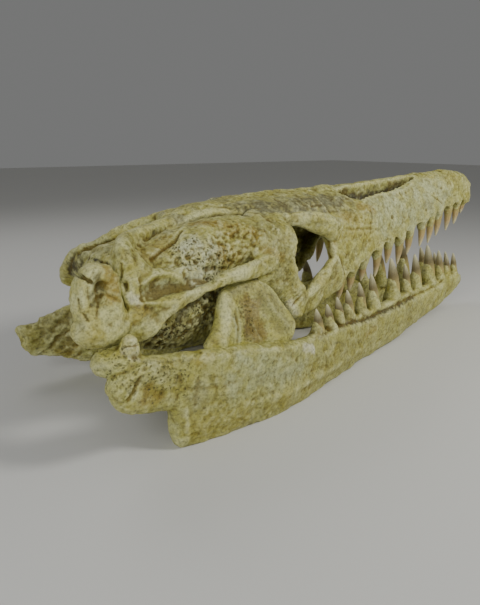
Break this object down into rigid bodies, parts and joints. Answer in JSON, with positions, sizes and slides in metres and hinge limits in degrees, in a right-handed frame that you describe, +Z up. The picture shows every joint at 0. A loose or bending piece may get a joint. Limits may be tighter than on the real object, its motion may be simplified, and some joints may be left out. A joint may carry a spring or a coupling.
{
  "type": "fossil mosasaur skull",
  "caption": "Long marine reptile skull lying on its lower jaws, mouth open, with rows of slender recurved teeth and open eye and nostril holes.",
  "frame": {"origin": "middle of the footprint, on the surface that the lower jaws lie on", "axes": "+X to the tip of the snout, +Y to the animal's left, +Z up"},
  "size_m": [0.7098, 0.2608, 0.2262],
  "materials": {
    "skull_bone": "matt, cream to olive fossil bone with ochre stains and fine pits",
    "jaw_bone": "matt, cream fossil bone with brown speckle",
    "quadrate_bone": "matt, cream to yellow-brown fossil bone",
    "tooth_enamel": "satin, tan to dark brown enamel with fine lengthwise ridges"
  },
  "bodies": {
    "root": {"coronoid_left": "jaw_bone", "coronoid_right": "jaw_bone", "cranium": "skull_bone", "lower_tooth_left_01": "tooth_enamel", "lower_tooth_left_02": "tooth_enamel", "lower_tooth_left_03": "tooth_enamel", "lower_tooth_left_04": "tooth_enamel", "lower_tooth_left_05": "tooth_enamel", "lower_tooth_left_06": "tooth_enamel", "lower_tooth_left_07": "tooth_enamel", "lower_tooth_left_08": "tooth_enamel", "lower_tooth_left_09": "tooth_enamel", "lower_tooth_left_10": "tooth_enamel", "lower_tooth_left_11": "tooth_enamel", "lower_tooth_left_12": "tooth_enamel", "lower_tooth_left_13": "tooth_enamel", "lower_tooth_right_01": "tooth_enamel", "lower_tooth_right_02": "tooth_enamel", "lower_tooth_right_03": "tooth_enamel", "lower_tooth_right_04": "tooth_enamel", "lower_tooth_right_05": "tooth_enamel", "lower_tooth_right_06": "tooth_enamel", "lower_tooth_right_07": "tooth_enamel", "lower_tooth_right_08": "tooth_enamel", "lower_tooth_right_09": "tooth_enamel", "lower_tooth_right_10": "tooth_enamel", "lower_tooth_right_11": "tooth_enamel", "lower_tooth_right_12": "tooth_enamel", "lower_tooth_right_13": "tooth_enamel", "mandible_left": "jaw_bone", "mandible_right": "jaw_bone", "quadrate_left": "quadrate_bone", "quadrate_right": "quadrate_bone", "upper_tooth_left_01": "tooth_enamel", "upper_tooth_left_02": "tooth_enamel", "upper_tooth_left_03": "tooth_enamel", "upper_tooth_left_04": "tooth_enamel", "upper_tooth_left_05": "tooth_enamel", "upper_tooth_left_06": "tooth_enamel", "upper_tooth_left_07": "tooth_enamel", "upper_tooth_left_08": "tooth_enamel", "upper_tooth_left_09": "tooth_enamel", "upper_tooth_left_10": "tooth_enamel", "upper_tooth_left_11": "tooth_enamel", "upper_tooth_left_12": "tooth_enamel", "upper_tooth_left_13": "tooth_enamel", "upper_tooth_right_01": "tooth_enamel", "upper_tooth_right_02": "tooth_enamel", "upper_tooth_right_03": "tooth_enamel", "upper_tooth_right_04": "tooth_enamel", "upper_tooth_right_05": "tooth_enamel", "upper_tooth_right_06": "tooth_enamel", "upper_tooth_right_07": "tooth_enamel", "upper_tooth_right_08": "tooth_enamel", "upper_tooth_right_09": "tooth_enamel", "upper_tooth_right_10": "tooth_enamel", "upper_tooth_right_11": "tooth_enamel", "upper_tooth_right_12": "tooth_enamel", "upper_tooth_right_13": "tooth_enamel"}
  },
  "joints": []
}
